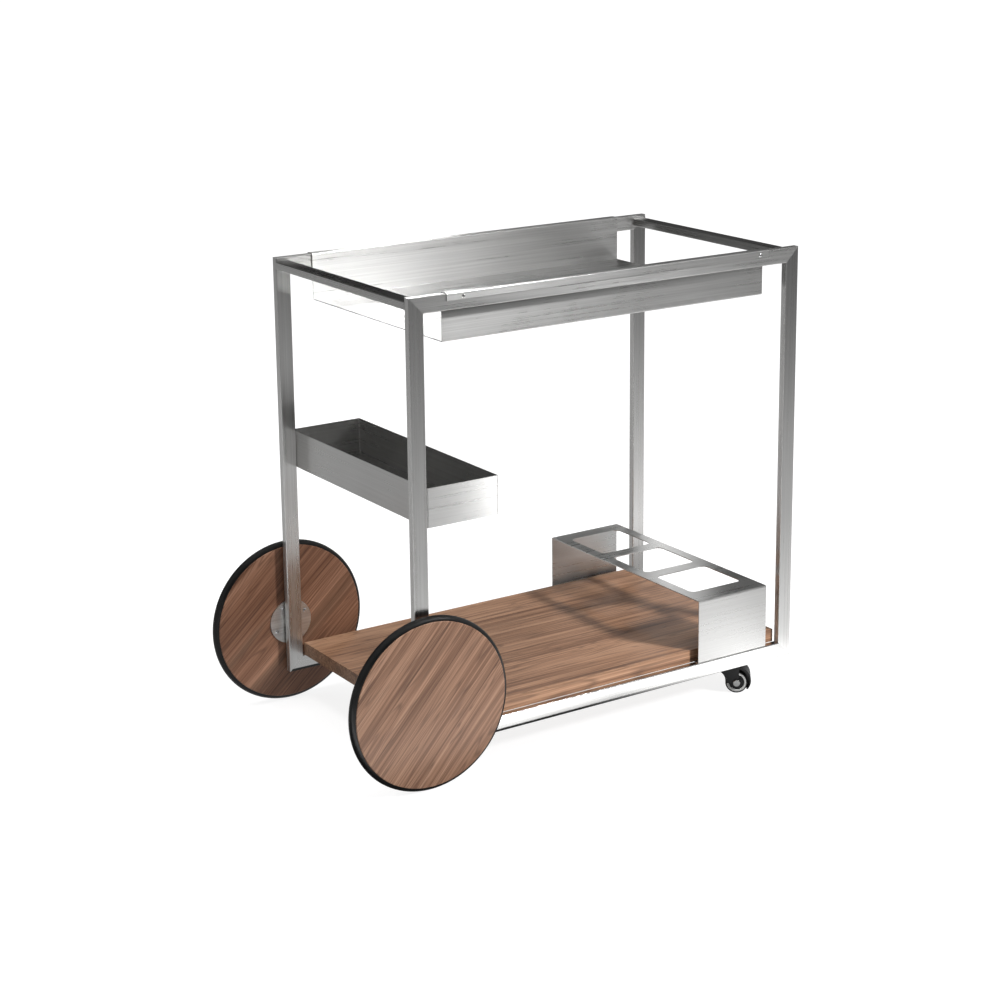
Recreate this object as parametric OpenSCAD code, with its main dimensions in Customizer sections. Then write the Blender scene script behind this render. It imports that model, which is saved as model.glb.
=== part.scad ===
// Bar cart with a hanging tray, a side box, a bottle rack and a walnut shelf.
// Two large walnut wheels carry one end and two twin-wheel casters the other.
// +X runs along the cart from the large wheels to the casters, -Y is the front,
// +Z is up. The origin is on the floor, under the centre of the bounding box.

/* [Frame] */
// Length of the tube frame
frame_l = 746; // [720:1:800]
// Width of the tube frame, over its two side frames
frame_w = 428; // [420:1:480]
// Height of the tube frame
frame_h = 710; // [680:1:780]
// Gap between the floor and the frame
floor_gap = 55.5; // [55:0.5:60]
// Wide side of the tube
tube_w = 25.4; // [24:0.1:28]
// Narrow side of the tube
tube_t = 12.7; // [12:0.1:16]
// Wall of the tube
tube_wall = 1.5; // [1:0.1:2]
// Distance from the frame's ends to the middle of the lower cross tubes
cross_inset = 100; // [80:1:110]

/* [Tray] */
// Distance from the frame's ends to the tray
tray_inset = 65; // [60:1:100]
// Depth of the tray below the top of the frame
tray_depth = 75.5; // [50:0.5:110]
// Height of the lip that hangs over the outside of the rails
lip_h = 11; // [9:0.5:16]
// Thickness of the tray's and the box's sheet
sheet_t = 1.2; // [1:0.1:1.5]

/* [Side box] */
// Length of the box along the cart
box_l = 127.6; // [80:0.1:160]
// Height of the box
box_h = 62; // [40:0.5:90]
// Height of the box's underside above the bottom of the frame
box_rise = 356; // [300:1:420]

/* [Shelf] */
// Thickness of the walnut board
board_t = 22; // [18:1:28]
// Gap between the board's ends and the posts
board_end_gap = 2.6; // [1:0.1:6]

/* [Bottle rack] */
// Distance from the frame's right end to the rack
rack_inset = 54.7; // [50:0.1:80]
// Length of the rack along the cart
rack_l = 144.6; // [130:0.1:160]
// Height of the rack's top above the bottom of the frame
rack_h = 134.9; // [110:0.1:180]
// Thickness of the rack's sheet
rack_t = 1.5; // [1.2:0.1:2]
// Size of a bottle opening along the cart
open_l = 106; // [90:1:110]
// Size of a bottle opening across the cart
open_w = 101; // [80:1:102]

/* [Large wheels] */
// Radius of the walnut disc
disc_r = 132.3; // [120:0.1:136]
// Thickness of the walnut disc
disc_t = 19.4; // [18.5:0.1:24]
// Radius of the rubber cord that makes the tyre
cord_r = 8.3; // [7:0.1:8.6]
// Gap between the post and the walnut disc
disc_gap = 5.6; // [5.6:0.1:8]

/* [Casters] */
// Radius of a caster wheel
caster_r = 19; // [17:0.5:19]
// Distance from the swivel axis to the caster's axle
trail = 13; // [11:0.5:15]
// Direction in which the casters trail, measured from +X
caster_angle = -38; // [-180:1:180]

/* [Hidden] */
$fn = 64;

FRONT = -1;
REAR = 1;
steel = [0.72, 0.72, 0.71];
dark_steel = [0.5, 0.5, 0.5];
walnut = [0.42, 0.28, 0.2];
black = [0.06, 0.06, 0.06];

// Places along X and Z
cord_centre_r = disc_r - 1.2;
tyre_r = cord_centre_r + cord_r;
axle_post_x = tube_w / 2;
overhang = tyre_r - axle_post_x;
overall_l = frame_l + overhang;
left = overhang - overall_l / 2;
right = left + frame_l;
base = floor_gap;
top = base + frame_h;
axle_x = left + axle_post_x;
axle_z = tyre_r;
side_y = frame_w / 2;
inner_y = side_y - tube_t;

// Tube and sheet details
tube_edge_r = 1.6;
joint_gap = 0.05;
bend_r = 1.6;
rack_bend_r = 2;
cross_top_z = top - tube_w / 2;

// Tray
tray_l = frame_l - 2 * tray_inset;
tray_wall_gap = 1;
tray_floor_z = top - tray_depth;
tray_screw_in = [29.5, 17];

// Side box
box_x = left + tube_w;
box_z = base + box_rise;
box_corner_r = 2.5;

// Shelf
board_l = frame_l - 2 * (tube_w + board_end_gap);
board_side_gap = 0.5;
board_w = 2 * (inner_y - board_side_gap);
board_z = base + tube_w;
board_screw_y = [-110, 110];
board_screw_len = 15;

// Bottle rack
rack_x = right - rack_inset - rack_l;
rack_foot = 11;
rack_top_z = base + rack_h;
open_pitch = open_w + 25.5;
open_count = 3;
open_first_y = -side_y + 43 + open_w / 2;
open_corner_r = 10;

// Screws
screw_r = 1.6;
screw_hole_r = 1.75;
screw_head_r = 3.4;
screw_head_h = 1.9;

// Hub, measured outwards from the post's face
plate_r = 38;
plate_t = 2;
plate_gap = disc_gap - plate_t;
collar_r = 10;
journal_r = 6;
bush_r = 9;
barrel_r = 14;
barrel_l = 13.4;
bush_end = disc_gap + 9.8;
ring_t = 1;
ring_place = bush_end + 0.2;
axle_end = ring_place + ring_t + 0.8;
stud_r = 5;
stud_l = 9.5;
hub_screw_circle_r = 30;
hub_screw_turn = 28;
running_gap = 0.05;

// Casters
stem_x = right - cross_inset;
stem_y = side_y - 41;
pin_r = 2.5;
web_t = 12;
caster_wheel_t = 8.4;
caster_wheel_gap = 0.6;
cheek_inner = web_t / 2 + caster_wheel_gap + caster_wheel_t + 0.4;
cheek_t = 1.8;
cheek_outer = cheek_inner + cheek_t;
rim_r = caster_r - 2;
core_r = caster_r - 6;
hood_rise = 4;
hood_r = caster_r + 5.5;
hood_inner_r = caster_r + 3;
boss_r = 8.5;
cap_r = 6;
head_r = 14;
head_sink = 1.5;
skirt_drop = 11;
shoulder_reach = 30;
back_hollow_r = 20.7;
back_hollow_x = -(caster_r + 20.2);
back_hollow_rise = 2;
kingpin_r = 4;
insert_flange_t = 0.8;
stem_collar_t = 3.4;
stem_collar_z = base - insert_flange_t - stem_collar_t;

// ---------- shared shapes ----------

module rounded_rect(size, r) {
    square([size.x - 2 * r, size.y], center = true);
    square([size.x, size.y - 2 * r], center = true);
    for (x = [-1, 1], y = [-1, 1])
        translate([x * (size.x / 2 - r), y * (size.y / 2 - r)])
            circle(r = r, $fn = 24);
}

module tube(size, length) {
    linear_extrude(length)
        difference() {
            rounded_rect(size, tube_edge_r);
            square(size - 2 * [tube_wall, tube_wall], center = true);
        }
}

// A tube that runs along Y between y0 and y1, centred on x and z
module tube_along_y(size, y0, y1, x, z) {
    translate([x, y0, z])
        rotate([-90, 0, 0])
            tube(size, y1 - y0);
}

// Keeps the children of a side at the front, or mirrors them to the rear
module on_side(side) {
    mirror([0, side == REAR ? 1 : 0, 0])
        children();
}

function unit(v) = v / norm(v);

// Folded sheet in section: straight runs along a path, with a round bend at
// each right-angled corner
module folded_section(path, t, r) {
    last = len(path) - 1;
    for (i = [0 : last - 1]) {
        d = unit(path[i + 1] - path[i]);
        a = path[i] + (i == 0 ? 0 : r) * d;
        b = path[i + 1] - (i == last - 1 ? 0 : r) * d;
        translate(a)
            rotate(atan2(d.y, d.x))
                translate([0, -t / 2])
                    square([norm(b - a), t]);
    }
    for (i = [1 : last - 1]) {
        u = unit(path[i] - path[i - 1]);
        v = unit(path[i + 1] - path[i]);
        reach = 2 * r * (u - v);
        translate(path[i] - r * u + r * v)
            intersection() {
                difference() {
                    circle(r = r + t / 2, $fn = 32);
                    circle(r = r - t / 2, $fn = 32);
                }
                polygon([[0, 0], [reach.x, 0], reach, [0, reach.y]]);
            }
    }
}

// Turns a YZ section into a bar along X
module along_x(x, length) {
    translate([x, 0, 0])
        rotate([90, 0, 90])
            linear_extrude(length)
                children();
}

// Pan head screw, head up, with its seat at z = 0
module pan_screw(length, head_r = screw_head_r, head_h = screw_head_h) {
    dome_r = (head_r * head_r + head_h * head_h) / (2 * head_h);
    translate([0, 0, -length])
        cylinder(r = screw_r, h = length);
    difference() {
        intersection() {
            cylinder(r = head_r, h = head_h);
            translate([0, 0, head_h - dome_r])
                sphere(r = dome_r);
        }
        translate([0, 0, head_h - 1])
            cylinder(r = 1.25, h = 2, $fn = 6);
    }
}

// ---------- frame ----------

// The mitred outline of a side frame's member, seen from the front
module mitred(points, side) {
    intersection() {
        children();
        translate([left, side * side_y + tube_t, base])
            rotate([90, 0, 0])
                linear_extrude(2 * tube_t)
                    polygon(points);
    }
}

module post(side, is_left) {
    x = is_left ? left + tube_w / 2 : right - tube_w / 2;
    outer = is_left ? 0 : frame_l;
    inner = is_left ? tube_w : frame_l - tube_w;
    color(steel)
        difference() {
            mitred([[outer, 0], [inner, tube_w], [inner, frame_h - tube_w], [outer, frame_h]], side)
                translate([x, side * (side_y - tube_t / 2), base])
                    tube([tube_w, tube_t], frame_h);
            if (is_left) {
                on_side(side)
                    axle_place()
                        translate([0, 0, -tube_wall - 1])
                            cylinder(r = stud_r + 0.2, h = tube_wall + 2);
                box_screw_places(side)
                    translate([0, 0, -tube_wall - 1])
                        cylinder(r = screw_hole_r, h = tube_wall + 2);
            }
        }
}

module side_rail(side, is_top) {
    z = is_top ? top - tube_w / 2 : base + tube_w / 2;
    outer = is_top ? frame_h : 0;
    inner = is_top ? frame_h - tube_w : tube_w;
    color(steel)
        difference() {
            mitred([[0, outer], [frame_l, outer], [frame_l - tube_w, inner], [tube_w, inner]], side)
                translate([left, side * (side_y - tube_t / 2), z])
                    rotate([90, 0, 90])
                        tube([tube_t, tube_w], frame_l);
            if (is_top)
                on_side(side)
                    tray_screw_places()
                        translate([0, 0, -tube_wall - 2])
                            cylinder(r = screw_hole_r, h = tube_wall + 2.5);
            else
                rack_screw_places(side)
                    translate([0, 0, -tube_wall - 2])
                        cylinder(r = screw_hole_r, h = tube_wall + 2.5);
        }
}

module top_cross(x) {
    color(dark_steel)
        tube_along_y([tube_w, tube_t], -inner_y, inner_y, x, cross_top_z);
}

module lower_cross(x, has_casters) {
    color(steel)
        difference() {
            tube_along_y([tube_w, tube_w], -inner_y, inner_y, x, base + tube_w / 2);
            for (y = board_screw_y)
                translate([x, y, base - 1]) {
                    cylinder(r = 4.5, h = tube_wall + 2);
                    cylinder(r = screw_hole_r, h = tube_w + 2);
                }
            if (has_casters)
                for (side = [FRONT, REAR])
                    translate([x, side * stem_y, base - 1])
                        cylinder(r = 5.6, h = tube_wall + 2);
        }
}

// Threaded sleeves in the lower cross tube that take the casters' stems
module caster_inserts() {
    color(steel)
        for (side = [FRONT, REAR])
            translate([stem_x, side * stem_y, base - insert_flange_t])
                difference() {
                    union() {
                        cylinder(r = 7.5, h = insert_flange_t);
                        cylinder(r = 5.5, h = insert_flange_t + 15);
                    }
                    translate([0, 0, -1])
                        cylinder(r = kingpin_r + joint_gap, h = 20);
                }
}

// ---------- tray ----------

module tray_screw_places() {
    for (x = [left + tray_inset + tray_screw_in[0], right - tray_inset - tray_screw_in[1]])
        translate([x, -side_y - sheet_t, top - lip_h / 2 - 1])
            rotate([90, 0, 0])
                children();
}

module tray() {
    lip_y = side_y + sheet_t / 2;
    wall_y = inner_y - tray_wall_gap - sheet_t / 2;
    flange_z = top + sheet_t / 2;
    floor_z = tray_floor_z + sheet_t / 2;
    color(steel)
        difference() {
            along_x(left + tray_inset, tray_l)
                folded_section(
                    [
                        [-lip_y, top - lip_h], [-lip_y, flange_z], [-wall_y, flange_z],
                        [-wall_y, floor_z], [wall_y, floor_z],
                        [wall_y, flange_z], [lip_y, flange_z], [lip_y, top - lip_h]
                    ],
                    sheet_t, bend_r);
            for (side = [FRONT, REAR])
                on_side(side)
                    tray_screw_places()
                        translate([0, 0, -2 * sheet_t])
                            cylinder(r = screw_hole_r, h = 4 * sheet_t);
        }
}

module tray_screws() {
    color(dark_steel)
        for (side = [FRONT, REAR])
            on_side(side)
                tray_screw_places()
                    pan_screw(8);
}

// ---------- side box ----------

// Two screws above each other on a post, heads inside the box
module box_screw_places(side) {
    for (z = [box_z + box_h * 0.28, box_z + box_h * 0.72])
        translate([box_x, side * (side_y - tube_t / 2), z])
            rotate([0, 90, 0])
                children();
}

module side_box() {
    color(steel)
        difference() {
            translate([box_x + box_l / 2, 0, box_z])
                linear_extrude(box_h)
                    rounded_rect([box_l, frame_w], box_corner_r);
            translate([box_x + box_l / 2, 0, box_z + sheet_t])
                linear_extrude(box_h)
                    rounded_rect([box_l - 2 * sheet_t, frame_w - 2 * sheet_t], box_corner_r - sheet_t);
            for (side = [FRONT, REAR])
                box_screw_places(side)
                    translate([0, 0, -1])
                        cylinder(r = screw_hole_r, h = sheet_t + 2);
        }
}

module box_screws() {
    color(dark_steel)
        for (side = [FRONT, REAR])
            box_screw_places(side)
                translate([0, 0, sheet_t])
                    pan_screw(8);
}

// ---------- shelf ----------

module board_screw_places() {
    for (x = [left + cross_inset, right - cross_inset], y = board_screw_y)
        translate([x, y, board_z - tube_wall])
            rotate([180, 0, 0])
                children();
}

module shelf_board() {
    color(walnut)
        difference() {
            translate([(left + right) / 2, 0, board_z + board_t / 2])
                cube([board_l, board_w, board_t], center = true);
            board_screw_places()
                translate([0, 0, -tube_wall - board_screw_len])
                    cylinder(r = screw_hole_r, h = board_screw_len + tube_wall + 0.5);
        }
}

module shelf_screws() {
    color(dark_steel)
        board_screw_places()
            pan_screw(board_screw_len);
}

// ---------- bottle rack ----------

// Screws that go down through the rack's feet into the bottom rails
module rack_screw_places(side) {
    for (x = [rack_x + rack_l * 0.2, rack_x + rack_l * 0.8])
        translate([x, side * (side_y - rack_foot * 0.6), base + tube_w])
            children();
}

module bottle_rack() {
    leg_y = side_y - rack_t / 2;
    foot_z = base + tube_w + rack_t / 2;
    top_z = rack_top_z - rack_t / 2;
    color(steel)
        difference() {
            along_x(rack_x, rack_l)
                folded_section(
                    [
                        [-side_y + rack_foot, foot_z], [-leg_y, foot_z], [-leg_y, top_z],
                        [leg_y, top_z], [leg_y, foot_z], [side_y - rack_foot, foot_z]
                    ],
                    rack_t, rack_bend_r);
            for (i = [0 : open_count - 1])
                translate([rack_x + rack_l / 2, open_first_y + i * open_pitch, rack_top_z - 2 * rack_t])
                    linear_extrude(3 * rack_t)
                        rounded_rect([open_l, open_w], open_corner_r);
            for (side = [FRONT, REAR])
                rack_screw_places(side)
                    translate([0, 0, -1])
                        cylinder(r = screw_hole_r, h = rack_t + 2);
        }
}

module rack_screws() {
    color(dark_steel)
        for (side = [FRONT, REAR])
            rack_screw_places(side)
                translate([0, 0, rack_t])
                    pan_screw(8);
}

// ---------- large wheels ----------

// The axle's axis at the front post's outer face, with +Z outwards
module axle_place() {
    translate([axle_x, -side_y, axle_z])
        rotate([90, 0, 0])
            children();
}

// Threaded bosses welded inside the left posts
module axle_bosses() {
    color(steel)
        for (side = [FRONT, REAR])
            on_side(side)
                axle_place()
                    translate([0, 0, tube_wall - tube_t])
                        difference() {
                            cylinder(r = 8, h = tube_t - 2 * tube_wall);
                            translate([0, 0, -1])
                                cylinder(r = stud_r + joint_gap, h = tube_t);
                        }
}

module axle(side) {
    color(dark_steel)
        on_side(side)
            axle_place()
                difference() {
                    union() {
                        translate([0, 0, -stud_l])
                            cylinder(r = stud_r, h = stud_l + 1);
                        cylinder(r = collar_r, h = plate_gap - 0.4);
                        cylinder(r = journal_r, h = axle_end);
                    }
                    translate([0, 0, ring_place])
                        difference() {
                            cylinder(r = journal_r + 1, h = ring_t);
                            cylinder(r = journal_r - 0.6, h = ring_t);
                        }
                }
}

// Retaining ring that holds the hub on the axle, open at one side
module axle_ring(side) {
    color(dark_steel)
        on_side(side)
            axle_place()
                translate([0, 0, ring_place + 0.05])
                    linear_extrude(ring_t - 0.1)
                        difference() {
                            circle(r = journal_r + 2.2);
                            circle(r = journal_r - 0.5);
                            translate([0, -1.5])
                                square([journal_r + 4, 3]);
                        }
}

module wheel_disc(side) {
    edge = 0.8;
    color(walnut)
        on_side(side)
            axle_place()
                translate([0, 0, disc_gap])
                    difference() {
                        rotate_extrude($fn = 180)
                            difference() {
                                polygon([
                                    [0, 0], [disc_r - edge, 0], [disc_r, edge],
                                    [disc_r, disc_t - edge], [disc_r - edge, disc_t], [0, disc_t]
                                ]);
                                translate([cord_centre_r, disc_t / 2])
                                    circle(r = cord_r + joint_gap, $fn = 48);
                            }
                        translate([0, 0, -1])
                            cylinder(r = barrel_r + joint_gap, h = barrel_l + 1.2);
                        hub_screw_places()
                            translate([0, 0, -8])
                                cylinder(r = screw_hole_r, h = 9);
                    }
}

module tyre(side) {
    color(black)
        on_side(side)
            axle_place()
                translate([0, 0, disc_gap + disc_t / 2])
                    rotate_extrude($fn = 180)
                        translate([cord_centre_r, 0])
                            circle(r = cord_r, $fn = 40);
}

// Screws on a circle, heads towards the post
module hub_screw_places() {
    for (i = [0 : 3])
        rotate(hub_screw_turn + 90 * i)
            translate([hub_screw_circle_r, 0, 0])
                rotate([180, 0, 0])
                    children();
}

module hub(side) {
    color(steel)
        on_side(side)
            axle_place()
                difference() {
                    union() {
                        translate([0, 0, plate_gap])
                            cylinder(r = plate_r, h = plate_t, $fn = 96);
                        translate([0, 0, plate_gap])
                            cylinder(r = barrel_r, h = plate_t + barrel_l);
                    }
                    translate([0, 0, plate_gap - 1])
                        cylinder(r = bush_r + joint_gap, h = bush_end - plate_gap + 1);
                    translate([0, 0, bush_end])
                        cylinder(r = bush_r + 1.5, h = barrel_l);
                    translate([0, 0, disc_gap])
                        hub_screw_places()
                            translate([0, 0, -1])
                                cylinder(r = screw_hole_r, h = plate_t + 2);
                }
}

module hub_bush(side) {
    color([0.8, 0.75, 0.62])
        on_side(side)
            axle_place()
                translate([0, 0, plate_gap])
                    difference() {
                        cylinder(r = bush_r, h = bush_end - plate_gap);
                        translate([0, 0, -1])
                            cylinder(r = journal_r + running_gap, h = bush_end);
                    }
}

module hub_screws(side) {
    color(dark_steel)
        on_side(side)
            axle_place()
                translate([0, 0, plate_gap])
                    hub_screw_places()
                        pan_screw(9, 3.6, 1.7);
}

// ---------- casters ----------

// The caster's own frame: origin on the floor under the swivel axis, +X along
// the trail, Y along its axle
module caster_place(side) {
    translate([stem_x, side * stem_y, 0])
        rotate([0, 0, caster_angle])
            children();
}

// The axle's axis, with the outline's X along the trail and its Y upwards
module caster_axle_place(side) {
    caster_place(side)
        translate([trail, 0, caster_r])
            rotate([90, 0, 0])
                children();
}

// Threaded stem, collar and the kingpin that the housing swivels on
module caster_stem(side) {
    kingpin_low = caster_r + 7;
    color(dark_steel)
        caster_place(side) {
            translate([0, 0, kingpin_low])
                cylinder(r = kingpin_r, h = base + 13 - kingpin_low);
            translate([0, 0, stem_collar_z])
                cylinder(r = 8, h = stem_collar_t);
        }
}

module caster_housing(side) {
    color(black)
        difference() {
            union() {
                caster_axle_place(side)
                    linear_extrude(2 * cheek_outer, center = true)
                        housing_outline();
                caster_place(side)
                    caster_head();
            }
            caster_axle_place(side)
                for (end = [-1, 1])
                    translate([0, 0, end * (web_t / 2 + (cheek_inner - web_t / 2) / 2)])
                        linear_extrude(cheek_inner - web_t / 2, center = true)
                            wheel_space();
            caster_axle_place(side)
                for (end = [-1, 1])
                    translate([0, 0, end * (cheek_inner + cheek_t)])
                        linear_extrude(2 * cheek_t, center = true)
                            difference() {
                                wheel_space();
                                cheek_outline();
                            }
            caster_place(side)
                translate([0, 0, caster_r + 6])
                    cylinder(r = kingpin_r + running_gap, h = base);
            caster_axle_place(side)
                cylinder(r = pin_r + 0.01, h = 3 * cheek_outer, center = true);
        }
}

// Side view of the housing: round ahead of the axle, with a shoulder that is
// hollowed behind the wheels
module housing_outline() {
    difference() {
        union() {
            intersection() {
                translate([0, hood_rise])
                    circle(r = hood_r);
                translate([0, -skirt_drop])
                    square(2 * hood_r);
            }
            translate([-shoulder_reach, -1])
                square([shoulder_reach, hood_rise + hood_r + 1]);
            circle(r = boss_r);
        }
        translate([back_hollow_x, back_hollow_rise])
            circle(r = back_hollow_r);
    }
}

// Round swivel head round the kingpin, on top of the housing
module caster_head() {
    head_low = caster_r + hood_rise + hood_r - head_sink;
    translate([0, 0, head_low])
        cylinder(r = head_r, h = stem_collar_z - 0.3 - head_low);
}

// Room for a wheel under the hood
module wheel_space() {
    translate([0, hood_rise - 1])
        circle(r = hood_inner_r);
    circle(r = caster_r + 1.2);
}

// Side cheek that carries the axle's end, open ahead of and below the axle
module cheek_outline() {
    reach = 2 * hood_r;
    polygon([[-reach, -1], [3, -1], [6, reach], [-reach, reach]]);
    circle(r = boss_r);
}

// Axle pin with a bright cap on each end
module caster_axle(side) {
    cap_t = 3;
    cap_edge = 0.8;
    color([0.85, 0.85, 0.85])
        caster_axle_place(side) {
            cylinder(r = pin_r, h = 2 * (cheek_outer + 0.5), center = true);
            for (end = [0, 1])
                mirror([0, 0, end])
                    translate([0, 0, cheek_outer + 0.2]) {
                        cylinder(r = cap_r, h = cap_t - cap_edge);
                        translate([0, 0, cap_t - cap_edge])
                            cylinder(r1 = cap_r, r2 = cap_r - cap_edge, h = cap_edge);
                    }
        }
}

// A wheel's inner face, with +Z outwards; end is -1 for the wheel nearer the
// front and 1 for the other
module caster_wheel_place(side, end) {
    caster_axle_place(side)
        mirror([0, 0, end == 1 ? 1 : 0])
            translate([0, 0, web_t / 2 + caster_wheel_gap])
                children();
}

// Wheel core with a recessed face and a hub
module caster_wheel(side, end) {
    color([0.12, 0.12, 0.12])
        caster_wheel_place(side, end)
            difference() {
                union() {
                    cylinder(r = core_r, h = caster_wheel_t - 1.6);
                    cylinder(r = 6, h = caster_wheel_t);
                }
                translate([0, 0, -1])
                    cylinder(r = pin_r + running_gap, h = caster_wheel_t + 2);
            }
}

// Light rim around a wheel core
module caster_rim(side, end) {
    edge = 0.7;
    color([0.75, 0.75, 0.75])
        caster_wheel_place(side, end)
            rotate_extrude($fn = 96)
                polygon([
                    [core_r + 0.01, 0], [rim_r, 0], [rim_r, caster_wheel_t - edge - 0.3],
                    [rim_r - edge, caster_wheel_t - 0.3], [core_r + edge, caster_wheel_t - 0.3],
                    [core_r + 0.01, caster_wheel_t - edge - 0.3]
                ]);
}

// Soft tread around a rim
module caster_tread(side, end) {
    edge = 1;
    color(black)
        caster_wheel_place(side, end)
            rotate_extrude($fn = 96)
                polygon([
                    [rim_r + 0.01, 0], [caster_r - edge, 0], [caster_r, edge],
                    [caster_r, caster_wheel_t - edge], [caster_r - edge, caster_wheel_t],
                    [rim_r + 0.01, caster_wheel_t]
                ]);
}

// ---------- nodes ----------

post(FRONT, true);  // post_front_left
post(FRONT, false);  // post_front_right
post(REAR, true);  // post_rear_left
post(REAR, false);  // post_rear_right
side_rail(FRONT, true);  // top_rail_front
side_rail(REAR, true);  // top_rail_rear
side_rail(FRONT, false);  // bottom_rail_front
side_rail(REAR, false);  // bottom_rail_rear
top_cross(left + tube_w / 2);  // top_cross_left
top_cross(right - tube_w / 2);  // top_cross_right
lower_cross(left + cross_inset, false);  // lower_cross_left
lower_cross(right - cross_inset, true);  // lower_cross_right
axle_bosses();
caster_inserts();
tray();
tray_screws();
side_box();
box_screws();
shelf_board();
shelf_screws();
bottle_rack();
rack_screws();
axle(FRONT);  // axle_front
axle_ring(FRONT);  // axle_ring_front
wheel_disc(FRONT);  // wheel_disc_front
tyre(FRONT);  // tyre_front
hub(FRONT);  // hub_front
hub_bush(FRONT);  // hub_bush_front
hub_screws(FRONT);  // hub_screws_front
axle(REAR);  // axle_rear
axle_ring(REAR);  // axle_ring_rear
wheel_disc(REAR);  // wheel_disc_rear
tyre(REAR);  // tyre_rear
hub(REAR);  // hub_rear
hub_bush(REAR);  // hub_bush_rear
hub_screws(REAR);  // hub_screws_rear
caster_stem(FRONT);  // caster_stem_front
caster_housing(FRONT);  // caster_housing_front
caster_axle(FRONT);  // caster_axle_front
caster_wheel(FRONT, -1);  // caster_wheel_front_near
caster_rim(FRONT, -1);  // caster_rim_front_near
caster_tread(FRONT, -1);  // caster_tread_front_near
caster_wheel(FRONT, 1);  // caster_wheel_front_far
caster_rim(FRONT, 1);  // caster_rim_front_far
caster_tread(FRONT, 1);  // caster_tread_front_far
caster_stem(REAR);  // caster_stem_rear
caster_housing(REAR);  // caster_housing_rear
caster_axle(REAR);  // caster_axle_rear
caster_wheel(REAR, -1);  // caster_wheel_rear_near
caster_rim(REAR, -1);  // caster_rim_rear_near
caster_tread(REAR, -1);  // caster_tread_rear_near
caster_wheel(REAR, 1);  // caster_wheel_rear_far
caster_rim(REAR, 1);  // caster_rim_rear_far
caster_tread(REAR, 1);  // caster_tread_rear_far
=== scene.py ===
import math

import bpy
from mathutils import Matrix, Vector

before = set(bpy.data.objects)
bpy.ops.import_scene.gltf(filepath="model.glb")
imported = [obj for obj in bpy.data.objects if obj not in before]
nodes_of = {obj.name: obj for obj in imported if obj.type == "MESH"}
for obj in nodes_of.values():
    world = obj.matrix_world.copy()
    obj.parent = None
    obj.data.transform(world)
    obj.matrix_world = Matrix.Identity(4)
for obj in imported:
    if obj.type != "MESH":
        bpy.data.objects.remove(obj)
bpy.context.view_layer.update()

scene = bpy.context.scene


# ---------- camera ----------

CAMERA = {
    "place": (-1.8679, -2.8396, 1.3738),
    "yaw": 33.17,        # from +Y towards +X
    "pitch": -13.478,    # above the horizon
    "roll": -0.61,
    "lens": 76.905,
    "shift_y": -0.12,
}
SENSOR_WIDTH = 36
CLIP = (0.05, 200)


def add_camera(place, yaw, pitch, roll, lens, shift_y):
    """The scene's camera. Lengths on the sensor are in mm, places in metres, angles in degrees."""
    yaw, pitch, roll = (math.radians(angle) for angle in (yaw, pitch, roll))
    ahead = math.cos(pitch)
    forward = Vector((ahead * math.sin(yaw), ahead * math.cos(yaw), math.sin(pitch)))
    level = Vector((math.cos(yaw), -math.sin(yaw), 0))
    above = level.cross(forward)
    right = level * math.cos(roll) + above * math.sin(roll)
    up = above * math.cos(roll) - level * math.sin(roll)
    data = bpy.data.cameras.new("camera")
    data.lens = lens
    data.sensor_width = SENSOR_WIDTH
    data.shift_y = shift_y
    data.clip_start, data.clip_end = CLIP
    obj = bpy.data.objects.new("camera", data)
    turn = Matrix((right, up, -forward)).transposed().to_4x4()
    obj.matrix_world = Matrix.Translation(place) @ turn
    scene.collection.objects.link(obj)
    scene.camera = obj


add_camera(**CAMERA)


# ---------- node helpers ----------

NO_TURN = NO_SHIFT = (0, 0, 0)


def grey(level):
    return (level, level, level)


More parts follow.
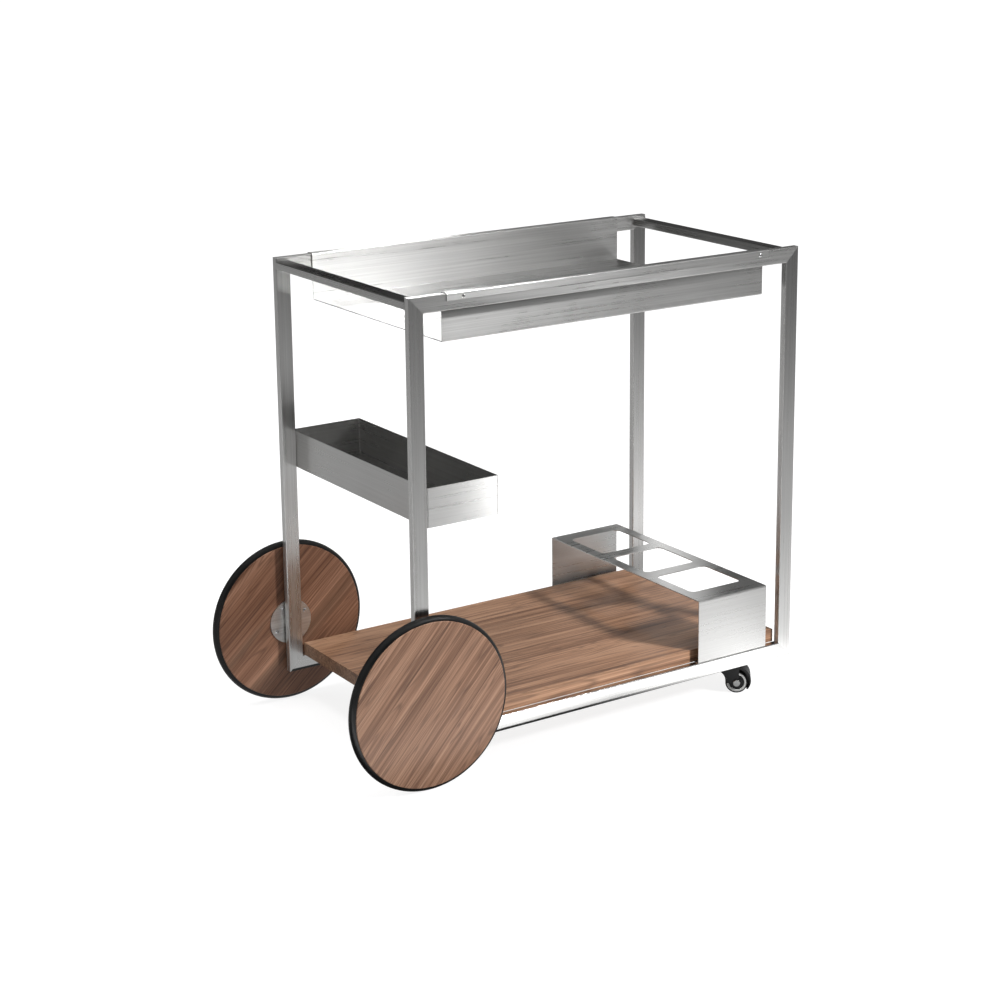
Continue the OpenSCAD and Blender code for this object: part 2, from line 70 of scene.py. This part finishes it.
class Nodes:
    """Short ways to add nodes to a node tree. Each returns the output that carries the result."""

    def __init__(self, tree):
        self.tree = tree

    def add(self, kind, **settings):
        node = self.tree.nodes.new(kind)
        for key, value in settings.items():
            setattr(node, key, value)
        return node

    def link(self, a, b):
        self.tree.links.new(a, b)

    def give(self, socket, value):
        """Link an output to a socket, or set a number or a colour on it."""
        if isinstance(value, (int, float)):
            socket.default_value = value
        elif isinstance(value, tuple):
            socket.default_value = (*value, 1)
        else:
            self.link(value, socket)

    def coords(self, scale, turn=NO_TURN, shift=NO_SHIFT):
        """The piece's own coordinates in metres, turned and shifted, then scaled."""
        source = self.add("ShaderNodeTexCoord").outputs["Object"]
        first = self.add("ShaderNodeMapping")
        first.inputs["Location"].default_value = shift
        first.inputs["Rotation"].default_value = turn
        second = self.add("ShaderNodeMapping")
        second.inputs["Scale"].default_value = scale
        self.link(source, first.inputs["Vector"])
        self.link(first.outputs["Vector"], second.inputs["Vector"])
        return second.outputs["Vector"]

    def own(self):
        """The piece's own coordinates in metres, as they are."""
        return self.coords((1, 1, 1))

    def normal(self, which="Normal"):
        return self.add("ShaderNodeNewGeometry").outputs[which]

    def axes(self, vector):
        """The X, Y and Z of a vector."""
        split = self.add("ShaderNodeSeparateXYZ")
        self.link(vector, split.inputs["Vector"])
        return [split.outputs[axis] for axis in "XYZ"]

    def noise(self, vector, scale=1.0, detail=2.0, roughness=0.5, distortion=0.0):
        node = self.add("ShaderNodeTexNoise")
        node.inputs["Scale"].default_value = scale
        node.inputs["Detail"].default_value = detail
        node.inputs["Roughness"].default_value = roughness
        node.inputs["Distortion"].default_value = distortion
        self.link(vector, node.inputs["Vector"])
        return node.outputs["Fac"]

    def math(self, operation, a, b=0.5):
        node = self.add("ShaderNodeMath", operation=operation)
        self.give(node.inputs[0], a)
        self.give(node.inputs[1], b)
        return node.outputs[0]

    def product(self, first, *others):
        for other in others:
            first = self.math("MULTIPLY", first, other)
        return first

    def blend_of(self, *parts):
        """The sum of pairs of an output and its share."""
        total = None
        for value, share in parts:
            part = self.math("MULTIPLY", value, share)
            total = part if total is None else self.math("ADD", total, part)
        return total

    def remap(self, value, lo, hi, to_lo, to_hi):
        """A straight ramp from lo to hi, held level outside them."""
        node = self.add("ShaderNodeMapRange")
        ends = (("From Min", lo), ("From Max", hi), ("To Min", to_lo), ("To Max", to_hi))
        for key, number in ends:
            node.inputs[key].default_value = number
        self.link(value, node.inputs["Value"])
        return node.outputs["Result"]

    def ramp(self, value, stops):
        node = self.add("ShaderNodeValToRGB")
        while len(node.color_ramp.elements) < len(stops):
            node.color_ramp.elements.new(0.5)
        for element, (position, colour) in zip(node.color_ramp.elements, stops):
            element.position = position
            element.color = (*colour, 1)
        self.link(value, node.inputs["Fac"])
        return node.outputs["Color"]

    def mix(self, factor, a, b):
        """Colour a, or b where the factor is 1."""
        node = self.add("ShaderNodeMix", data_type="RGBA")
        # the node's sockets for colours are numbers 6, 7 and, for the result, 2
        for socket, value in zip((node.inputs[0], node.inputs[6], node.inputs[7]), (factor, a, b)):
            self.give(socket, value)
        return node.outputs[2]

    def choose(self, factor, a, b):
        """Shader a, or b where the factor is 1."""
        node = self.add("ShaderNodeMixShader")
        for socket, value in zip(node.inputs, (factor, a, b)):
            self.link(value, socket)
        return node.outputs["Shader"]


class Shader(Nodes):
    """The nodes of a new material, round its Principled shader."""

    def __init__(self, name, **values):
        self.material = bpy.data.materials.new(name)
        self.material.use_nodes = True
        super().__init__(self.material.node_tree)
        self.bsdf = self.tree.nodes["Principled BSDF"]
        for key, value in values.items():
            self.bsdf.inputs[key.replace("_", " ")].default_value = value

    def set(self, key, value):
        self.link(value, self.bsdf.inputs[key])

    def bump(self, height, strength, distance):
        node = self.add("ShaderNodeBump")
        node.inputs["Strength"].default_value = strength
        node.inputs["Distance"].default_value = distance
        self.link(height, node.inputs["Height"])
        self.set("Normal", node.outputs["Normal"])


# ---------- metal ----------

# cells of noise in a metre, along the brushing and across it
HAIRS = (6.0, 600.0)
BANDS = (1.6, 150.0)
SMUDGES = 7.0
# steel is a little warm, the more so where it is dark
WARM_DARK = (1, 0.995, 0.98)
WARM_LIGHT = (1, 0.998, 0.985)


def brushed_steel(name, along, tone=0.66, rough=(0.26, 0.32), stretch=0.96, grain=1.0,
                  marks_and_painted_shade=(), shift=NO_SHIFT):
    """Stainless steel with highlights stretched across the brushing.

    It is brushed along an axis, or along "xy": its walls level all round and its floor along Y.
    grain is the contrast of the brushing, and each of the colour marks changes the colour; most of
    them are painted shade.
    """
    s = Shader(name, Metallic=1.0, Anisotropic=stretch)

    def streaks(cells, detail):
        lengthwise, across = cells
        scale = [lengthwise if axis in along else across for axis in "xyz"]
        return s.noise(s.coords(scale, shift=shift), detail=detail)

    hairs = streaks(HAIRS, detail=2)
    bands = streaks(BANDS, detail=3)
    smudge = s.noise(s.coords((SMUDGES,) * 3, shift=shift), detail=3, roughness=0.6)
    brushing = s.blend_of((hairs, 0.5), (bands, 0.5))
    dark, light = tone * (1 - 0.18 * grain), tone * (1 + 0.12 * grain)
    colour = s.ramp(brushing, [
        (0.34, tuple(dark * part for part in WARM_DARK)),
        (0.66, tuple(light * part for part in WARM_LIGHT)),
    ])
    for mark in marks_and_painted_shade:
        colour = mark(s, colour)
    s.set("Base Color", colour)
    worn = s.blend_of((brushing, 0.6), (smudge, 0.4))
    s.set("Roughness", s.remap(worn, 0.38, 0.62, *rough))
    s.set("Tangent", level_brushing(s) if len(along) > 1 else across_brushing(s, along))
    return s.material


def level_brushing(s):
    """One direction, almost straight up, for the stretched highlights of a whole folded box."""
    direction = s.add("ShaderNodeCombineXYZ")
    for socket, value in zip(direction.inputs, (0.02, 0.0, 1.0)):
        socket.default_value = value
    return direction.outputs["Vector"]


def across_brushing(s, along):
    """At right angles to the brushing, in the surface."""
    # a little of the other axes keeps faces that look along the brushing from having no direction
    hints = {"x": 0.01, "y": 0.01, "z": 0.03, along: 1.0}
    across = s.add("ShaderNodeVectorMath", operation="CROSS_PRODUCT")
    s.link(s.normal(), across.inputs[0])
    across.inputs[1].default_value = [hints[axis] for axis in "xyz"]
    return across.outputs["Vector"]


# places of the painted shade on the cart, in metres; each pair is the two ends of a fade
RAIL_SHADE_HEIGHT = (0.722, 0.736)
RAIL_SHADE_OUTSIDE = (-0.206, -0.204)    # Y between the lip and the wall
RAIL_SHADE_INSIDE = (-0.19, -0.185)      # Y between the wall and the floor
RAIL_SHADE_ALONG = (-0.1, 0.35)
UNDER_LIPS = (0.70, 0.72)
FOOT_HEIGHT = (0.0595, 0.0605)
FOOT_ALONG = (0.0, 0.36)
# how squarely a face looks along an axis, from not at all to wholly
FACING = (0.6, 0.9)


def dull_and_shaded_cut_ends(s, colour):
    """The tray's cut edges look along X and are painted dark: partly dull cut steel, partly a
    painted shade line along the edges.
    """
    facing_x = s.axes(s.normal("True Normal"))[0]
    cut = s.remap(s.math("ABSOLUTE", facing_x), *FACING, 0.0, 1.0)
    return s.mix(cut, colour, grey(0.12))


def painted_shade_under_rail(s, colour):
    """A painted shade: a darker band high on the tray's front wall, just under the rail, where the
    rail's shade falls.
    """
    x, y, z = s.axes(s.own())
    height = s.remap(z, *RAIL_SHADE_HEIGHT, 0.0, 0.6)
    past_lip = s.remap(y, *RAIL_SHADE_OUTSIDE, 0.0, 1.0)
    short_of_floor = s.remap(y, *RAIL_SHADE_INSIDE, 1.0, 0.0)
    fade = s.remap(x, *RAIL_SHADE_ALONG, 1.0, 0.2)
    return s.mix(s.product(height, past_lip, short_of_floor, fade), colour, grey(0.08))


def painted_shade_on_floor(s, colour):
    """The tray's floor, down between its walls, is painted darker than its walls and its lips: a
    painted shade.
    """
    facing_z = s.axes(s.normal("True Normal"))[2]
    z = s.axes(s.own())[2]
    upwards = s.remap(facing_z, *FACING, 0.0, 0.4)
    below_lips = s.remap(z, *UNDER_LIPS, 1.0, 0.0)
    return s.mix(s.product(upwards, below_lips), colour, grey(0.2))


def painted_shade_foot(s, colour):
    """The low rails' bottom edge, painted dark most at the wheels' end: a painted shade line for
    the shade under the cart.
    """
    x, _, z = s.axes(s.own())
    edge = s.remap(z, *FOOT_HEIGHT, 0.95, 0.0)
    fade = s.remap(x, *FOOT_ALONG, 1.0, 0.0)
    return s.mix(s.product(edge, fade), colour, grey(0.01))


def plated(name, tone=0.75, rough=(0.12, 0.24)):
    """Plated steel with faint turning marks."""
    s = Shader(name, Metallic=1.0)
    turning = s.noise(s.own(), scale=1600)
    cloud = s.noise(s.own(), scale=120, detail=3)
    s.set("Base Color", s.ramp(cloud, [(0.3, grey(tone * 0.9)), (0.7, (tone, tone, tone * 0.98))]))
    s.set("Roughness", s.remap(turning, 0.3, 0.7, *rough))
    s.bump(turning, 0.05, 0.0001)
    return s.material


# ---------- wood ----------

WALNUT_TONES = [
    (0.385, (0.088, 0.047, 0.030)),
    (0.440, (0.165, 0.088, 0.055)),
    (0.490, (0.245, 0.140, 0.090)),
    (0.550, (0.315, 0.188, 0.125)),
    (0.620, (0.400, 0.250, 0.172)),
]
GROWTH_LINE = (0.080, 0.044, 0.030)
SMOKE = (0.120, 0.088, 0.062)
PORE = (0.060, 0.034, 0.023)
RINGS_PER_NOISE = 16.0


def walnut(name, turn=NO_TURN, shift=NO_SHIFT, tint_and_shade=(1, 1, 1)):
    """Oiled walnut veneer with the grain along the turned X axis; the tint scales all its colours:
    a shift of tone on some pieces, a painted shade on others.
    """
    s = Shader(name, IOR=1.47, Specular_IOR_Level=0.45)

    def tinted_and_shaded(colour):
        return tuple(part * tint_part for part, tint_part in zip(colour, tint_and_shade))

    def streaks(along, across, **settings):
        """Noise with this many cells in a metre along the grain and across it."""
        return s.noise(s.coords((along, across, across), turn, shift), **settings)

    drift = streaks(1.6, 9)
    figure = streaks(1.0, 62, detail=4, roughness=0.62, distortion=0.45)
    lines = streaks(2.4, 280, detail=4, roughness=0.6)
    hairs = streaks(16, 900)
    rings = streaks(1.5, 26, roughness=0.45, distortion=0.9)
    tone = s.blend_of((figure, 0.36), (drift, 0.18), (lines, 0.46))
    base = s.ramp(tone, [(place, tinted_and_shaded(colour)) for place, colour in WALNUT_TONES])
    # contour lines of a stretched noise make the long thin growth lines
    contour = s.math("FRACT", s.math("MULTIPLY", rings, RINGS_PER_NOISE))
    edge = s.math("ABSOLUTE", s.math("SUBTRACT", contour, 0.5))
    base = s.mix(s.remap(edge, 0.30, 0.5, 0.0, 0.55), base, tinted_and_shaded(GROWTH_LINE))
    smoke = s.remap(streaks(2.4, 20, distortion=0.6), 0.62, 0.76, 0.0, 0.6)
    base = s.mix(smoke, base, tinted_and_shaded(SMOKE))
    open_pores = s.remap(hairs, 0.58, 0.72, 0.0, 0.45)
    base = s.mix(open_pores, base, tinted_and_shaded(PORE))
    s.set("Base Color", base)
    s.set("Roughness", s.remap(lines, 0.3, 0.7, 0.34, 0.48))
    s.bump(s.math("SUBTRACT", s.math("MULTIPLY", lines, 0.25), open_pores), 0.15, 0.00015)
    return s.material


# ---------- rubber and plastic ----------

def rubber(name, tone=0.004):
    """Black rubber with a little dust."""
    s = Shader(name, Specular_IOR_Level=0.35)
    grain = s.noise(s.own(), scale=900, detail=3)
    dust = s.noise(s.own(), scale=40, detail=4, roughness=0.65)
    dusty = (tone * 2.0, tone * 1.95, tone * 1.9)
    s.set("Base Color", s.ramp(dust, [(0.35, grey(tone)), (0.75, dusty)]))
    s.set("Roughness", s.remap(dust, 0.3, 0.7, 0.30, 0.42))
    s.bump(grain, 0.18, 0.0002)
    return s.material


def moulded(name, colour, rough=(0.3, 0.42)):
    """Moulded plastic with a fine grain."""
    s = Shader(name, Specular_IOR_Level=0.35)
    grain = s.noise(s.own(), scale=1400)
    cloud = s.noise(s.own(), scale=60, detail=3)
    s.set("Base Color", s.ramp(cloud, [
        (0.3, tuple(part * 0.85 for part in colour)),
        (0.7, tuple(min(1.0, part * 1.15) for part in colour)),
    ]))
    s.set("Roughness", s.remap(cloud, 0.3, 0.7, *rough))
    s.bump(grain, 0.1, 0.00015)
    return s.material


# ---------- materials ----------

post_steel = brushed_steel("post_steel", "z", grain=0.6)
rail_steel = brushed_steel("rail_steel", "x", grain=0.8, shift=(0.3, 0.1, 0.7))
low_rail_steel = brushed_steel("low_rail_steel", "x", rough=(0.15, 0.2), stretch=0.6, grain=0.5,
                               marks_and_painted_shade=[painted_shade_foot], shift=(0.5, 0.3, 0.9))
cross_steel = brushed_steel("cross_steel", "y", shift=(0.9, 0.4, 0.2))
tray_steel = brushed_steel("tray_steel", "x", tone=0.7, grain=0.7,
                           marks_and_painted_shade=[dull_and_shaded_cut_ends, painted_shade_under_rail, painted_shade_on_floor],
                           shift=(1.7, 0.3, 0.5))
box_steel = brushed_steel("box_steel", "xy", grain=0.5, shift=(2.1, 0.8, 0.1))
rack_steel = brushed_steel("rack_steel", "x", grain=0.4, shift=(3.3, 0.2, 0.6))
hub_steel = brushed_steel("hub_steel", "x", tone=0.85, rough=(0.4, 0.5), stretch=0.3)
bright = plated("bright_screws")
cap_zinc = plated("cap_zinc", tone=0.42, rough=(0.3, 0.4))
board_wood = walnut("board_walnut", tint_and_shade=(1.01, 0.96, 0.87))
front_wood = walnut("front_disc_walnut", turn=(0, math.radians(48), 0), shift=(0.4, 0.2, 0.1),
                    tint_and_shade=(0.98, 0.94, 0.92))
# the rear discs are the same walnut as the front ones, tinted darker and redder: a painted shade
# for the shade the rear wheel stands in
shaded_rear_wood = walnut("rear_disc_walnut_painted_shade", turn=(0, math.radians(42), 0), shift=(1.3, 0.5, 0.9),
                   tint_and_shade=(0.78, 0.66, 0.61))
tyre_rubber = rubber("tyre_rubber")
tread_rubber = rubber("tread_rubber", tone=0.003)
caster_black = moulded("caster_black", (0.005, 0.005, 0.0055))
rim_grey = moulded("rim_grey", (0.55, 0.55, 0.54), rough=(0.25, 0.35))
acetal = moulded("acetal", (0.6, 0.56, 0.44))

# the first stem that a node's name starts with gives its material; the rest, which are screws,
# axles, rings, stems and inserts, are plated
LOOKS = [
    ("post_", post_steel),
    ("axle_bosses", post_steel),
    ("top_rail", rail_steel),
    ("bottom_rail", low_rail_steel),
    ("top_cross", cross_steel),
    ("lower_cross", cross_steel),
    ("tray_screws", bright),
    ("tray", tray_steel),
    ("side_box", box_steel),
    ("bottle_rack", rack_steel),
    ("shelf_board", board_wood),
    ("wheel_disc_front", front_wood),
    ("wheel_disc_rear", shaded_rear_wood),
    ("tyre", tyre_rubber),
    ("hub_bush", acetal),
    ("hub_screws", bright),
    ("hub", hub_steel),
    ("caster_tread", tread_rubber),
    ("caster_rim", rim_grey),
    ("caster_wheel", caster_black),
    ("caster_housing", caster_black),
    ("caster_axle", cap_zinc),
]


def material_for(node):
    return next((material for stem, material in LOOKS if node.startswith(stem)), bright)


# ---------- soft edges ----------

FRAME_TUBES = ("post_", "top_rail", "bottom_rail", "top_cross", "lower_cross")
TUBE_EDGE = 0.0004
SHEET_AND_BOARD_EDGES = {
    "shelf_board": 0.0012, "tray": 0.0004, "side_box": 0.0002, "bottle_rack": 0.0003,
}


def bevel(obj, width, segments, angle):
    """Round the edges that are sharper than angle, in degrees."""
    modifier = obj.modifiers.new("bevel", "BEVEL")
    modifier.width = width
    modifier.segments = segments
    modifier.limit_method = "ANGLE"
    modifier.angle_limit = math.radians(angle)
    modifier.harden_normals = False


for name, obj in nodes_of.items():
    obj.data.materials.clear()
    obj.data.materials.append(material_for(name))
    if name in SHEET_AND_BOARD_EDGES:
        bevel(obj, SHEET_AND_BOARD_EDGES[name], segments=2, angle=35)
    elif name.startswith(FRAME_TUBES):
        bevel(obj, TUBE_EDGE, segments=1, angle=50)


# ---------- floor ----------

FLOOR_SIZE = 80
FLOOR_TURN = -math.pi    # decides where the faint clouds in its colour lie
# brightness that the metal reflects, by the distance in front of the cart's middle as a share of
# POOL_REACH metres
POOL_REACH = 4.0
POOL = [
    (0.05, 0.5), (0.080, 2.8), (0.098, 2.6), (0.112, 1.1), (0.19, 0.75),
    (0.28, 0.52), (0.38, 0.50), (0.50, 0.34), (0.80, 0.22),
]
# a ramp's colours end at 1, so the brightness is divided by this and multiplied back
POOL_TOP = 5.0
# places on the floor in metres; each pair is the two ends of a fade
POOL_SIDES = (1.6, 4.0)
STRIP_FRONT, STRIP_BACK = (-0.44, -0.42), (-0.31, -0.29)
STRIP_RIGHT, STRIP_LEFT = (0.47, 0.56), (-0.1, 0.3)
SHADOW_FRONT, SHADOW_BACK = (-0.364, -0.342), (-0.15, -0.05)
SHADOW_RIGHT = (0.16, 0.40)
FLOOR_FADE = (0.6, 3.0)


def pool_of_light(s, position):
    """What the metal reflects of the floor: bright just in front of the cart, fading outwards."""
    x, y, _ = s.axes(position)
    stops = [(place, grey(level / POOL_TOP)) for place, level in POOL]
    ahead = s.ramp(s.remap(y, 0.0, -POOL_REACH, 0.0, 1.0), stops)
    wide = s.remap(s.math("ABSOLUTE", x), *POOL_SIDES, POOL_TOP, 0.4 * POOL_TOP)
    # a strip along the front is dimmer past the right posts and brighter left of the middle
    strip = s.product(s.remap(y, *STRIP_FRONT, 0.0, 1.0), s.remap(y, *STRIP_BACK, 1.0, 0.0))
    right_end = s.math("ADD", 1.0, s.product(strip, s.remap(x, *STRIP_RIGHT, 0.0, -0.5)))
    left_half = s.math("ADD", 1.0, s.product(strip, s.remap(x, *STRIP_LEFT, 0.7, 0.0)))
    # the cart's own shadow
    shadow = s.product(s.remap(y, *SHADOW_FRONT, 0.0, 1.0), s.remap(x, *SHADOW_RIGHT, 1.0, 0.0),
                       s.remap(y, *SHADOW_BACK, 1.0, 0.0))
    lit = s.math("SUBTRACT", 1.0, s.math("MULTIPLY", shadow, 0.93))
    pool = s.add("ShaderNodeEmission")
    s.link(s.product(ahead, wide, s.product(right_end, left_half), lit), pool.inputs["Strength"])
    return pool.outputs["Emission"]


def floor_material():
    """Pale floor that takes a soft shadow; reflections see the pool of light instead."""
    s = Shader("floor", Roughness=0.95, Specular_IOR_Level=0.0, Emission_Color=(1, 1, 1, 1))
    position = s.add("ShaderNodeNewGeometry").outputs["Position"]
    distance = s.add("ShaderNodeVectorMath", operation="LENGTH")
    s.link(position, distance.inputs[0])
    tone = s.noise(s.own(), scale=0.6)
    s.set("Base Color", s.ramp(tone, [(0.3, grey(0.24)), (0.7, grey(0.26))]))
    rays = s.add("ShaderNodeLightPath")
    # almost white round the cart, so that its shadow shows, and white further out
    white = s.remap(distance.outputs["Value"], *FLOOR_FADE, 0.86, 1.0)
    seen = s.remap(rays.outputs["Is Camera Ray"], 0, 1, 0.45, 1)
    s.set("Emission Strength", s.product(white, seen))
    surface = s.choose(rays.outputs["Is Glossy Ray"], s.bsdf.outputs["BSDF"],
                       pool_of_light(s, position))
    s.link(surface, s.tree.nodes["Material Output"].inputs["Surface"])
    return s.material


def add_floor():
    half = FLOOR_SIZE / 2
    mesh = bpy.data.meshes.new("floor")
    corners = [(-half, -half, 0), (half, -half, 0), (half, half, 0), (-half, half, 0)]
    mesh.from_pydata(corners, [], [(0, 1, 2, 3)])
    mesh.materials.append(floor_material())
    obj = bpy.data.objects.new("floor", mesh)
    obj.rotation_euler.z = FLOOR_TURN
    scene.collection.objects.link(obj)


add_floor()


# ---------- lamps ----------

HIGH_RIGHT = (1.70, -1.81, 2.75)
LOW_RIGHT = (1.43, -2.19, 1.61)
OVERHEAD = (0.0, -0.2, 3.2)


def lamp(name, place, target, size, power, lights):
    """A rectangular lamp, which lights either "surfaces" or, by reflection, "highlights"."""
    data = bpy.data.lights.new(name, "AREA")
    data.shape = "RECTANGLE"
    data.size, data.size_y = size
    data.energy = power
    obj = bpy.data.objects.new(name, data)
    obj.location = place
    obj.rotation_euler = (Vector(target) - Vector(place)).to_track_quat("-Z", "Y").to_euler()
    obj.visible_camera = False
    obj.visible_glossy = lights == "highlights"
    obj.visible_diffuse = lights == "surfaces"
    scene.collection.objects.link(obj)
    return obj


def limit(light, piece, state):
    """Let a lamp reach only one piece, or all but that piece."""
    group = bpy.data.collections.new(light.name + "_reach")
    group.objects.link(nodes_of[piece])
    group.collection_objects[0].light_linking.link_state = state
    light.light_linking.receiver_collection = group


key = lamp("key", HIGH_RIGHT, (0, 0, 0.45), (0.7, 0.7), 42, "surfaces")
lamp("low", LOW_RIGHT, (0, 0, 0.4), (0.36, 0.36), 80, "surfaces")
glint = lamp("glint", HIGH_RIGHT, (0, 0, 0.7), (0.3, 0.3), 28, "highlights")
lamp("front", (1.87, -2.49, 1.9), (0.1, -0.2, 0.75), (1.2, 1.0), 4.7, "highlights")
rear = lamp("rear", (1.23, 2.0, 2.2), (-0.1, 0.1, 0.64), (0.3, 0.3), 7, "highlights")
top = lamp("top", OVERHEAD, (0, 0, 0.2), (2.4, 2.4), 110, "surfaces")
lamp("back", (0.89, 0.68, 0.55), (0.31, -0.05, 0.19), (0.12, 0.4), 0.25, "highlights")
tray_glow = lamp("tray_glow", (1.28, -1.95, 2.7), (-0.2, 0.1, 0.7), (0.6, 0.3), 37, "highlights")
box_glow = lamp("box_glow", (0.80, -1.50, 0.12), (-0.2, -0.2, 0.4), (0.30, 0.22), 2.2,
                "highlights")
lamp("fill", (-0.8, 3.0, 1.1), (0, 0, 0.3), (1.5, 1.0), 24, "surfaces")
# the board has these two instead of the key and the top
board_key = lamp("board_key", LOW_RIGHT, (0, 0, 0.1), (0.36, 0.36), 70, "surfaces")
board_top = lamp("board_top", OVERHEAD, (0, 0, 0.2), (2.4, 2.4), 80, "surfaces")

limit(board_key, "shelf_board", "INCLUDE")
limit(board_top, "shelf_board", "INCLUDE")
limit(key, "shelf_board", "EXCLUDE")
limit(top, "shelf_board", "EXCLUDE")
limit(tray_glow, "tray", "INCLUDE")
limit(box_glow, "side_box", "INCLUDE")
limit(glint, "tray", "EXCLUDE")
limit(rear, "top_cross_right", "EXCLUDE")


# ---------- world ----------

# brightness by the height of the direction: dark just above the floor, so metal tops stay dark
ROOM_TONES = [(0.0, 0.06), (0.14, 0.0), (0.30, 0.015), (0.45, 0.05), (0.65, 0.2), (1.0, 0.6)]
END_WALL_TONE = 0.38
LEFT_WALL = (-0.55, -0.72)    # X of the directions where a wall begins and where it is full
RIGHT_WALL = (0.70, 0.82)


def studio_world():
    """A room that is brighter overhead and, in reflections, at both ends; the camera sees white."""
    world = bpy.data.worlds.new("studio")
    scene.world = world
    world.use_nodes = True
    world.node_tree.nodes.clear()
    w = Nodes(world.node_tree)
    x, _, z = w.axes(w.add("ShaderNodeTexCoord").outputs["Generated"])
    rays = w.add("ShaderNodeLightPath")
    walls = w.math("ADD", w.remap(x, *LEFT_WALL, 0.0, 1.0), w.remap(x, *RIGHT_WALL, 0.0, 1.0))
    dim = w.ramp(z, [(place, grey(tone)) for place, tone in ROOM_TONES])
    in_reflections = w.product(walls, rays.outputs["Is Glossy Ray"])
    room = w.add("ShaderNodeBackground")
    w.link(w.mix(in_reflections, dim, grey(END_WALL_TONE)), room.inputs["Color"])
    white = w.add("ShaderNodeBackground")
    white.inputs["Color"].default_value = (1, 1, 1, 1)
    surface = w.choose(rays.outputs["Is Camera Ray"], room.outputs["Background"],
                       white.outputs["Background"])
    w.link(surface, w.add("ShaderNodeOutputWorld").inputs["Surface"])


studio_world()

scene.view_settings.view_transform = "Standard"
scene.view_settings.look = "None"
scene.view_settings.exposure = 0
scene.cycles.use_denoising = True
